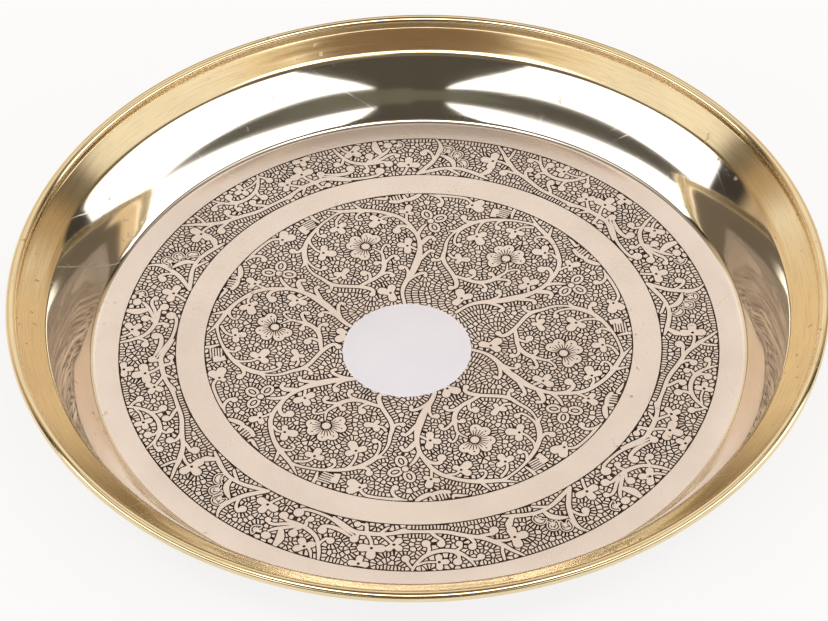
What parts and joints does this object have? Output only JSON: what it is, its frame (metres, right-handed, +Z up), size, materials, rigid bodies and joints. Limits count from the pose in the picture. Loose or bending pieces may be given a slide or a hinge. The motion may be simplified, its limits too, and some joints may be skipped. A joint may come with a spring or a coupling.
{
  "type": "puja thali",
  "caption": "Round spun brass ritual tray with a flared, curled rim and an etched floral floor, for holding lamps and offerings.",
  "frame": {"origin": "centre of the underside, on the surface that the tray stands on", "axes": "+Z up out of the tray along its spinning axis; +X to the right and +Y to the back as pictured"},
  "size_m": [0.254, 0.254, 0.0287],
  "materials": {
    "polished_brass": "spun and polished sheet brass, mirror wall, satin floor, light scratches and tarnish",
    "black_enamel": "matt brown-black enamel rubbed into the etched ground",
    "label_paper": "blank semi-gloss label paper"
  },
  "bodies": {
    "root": {"plate": "polished_brass", "border_enamel": "black_enamel", "medallion_enamel": "black_enamel", "centre_label": "label_paper"}
  },
  "joints": []
}
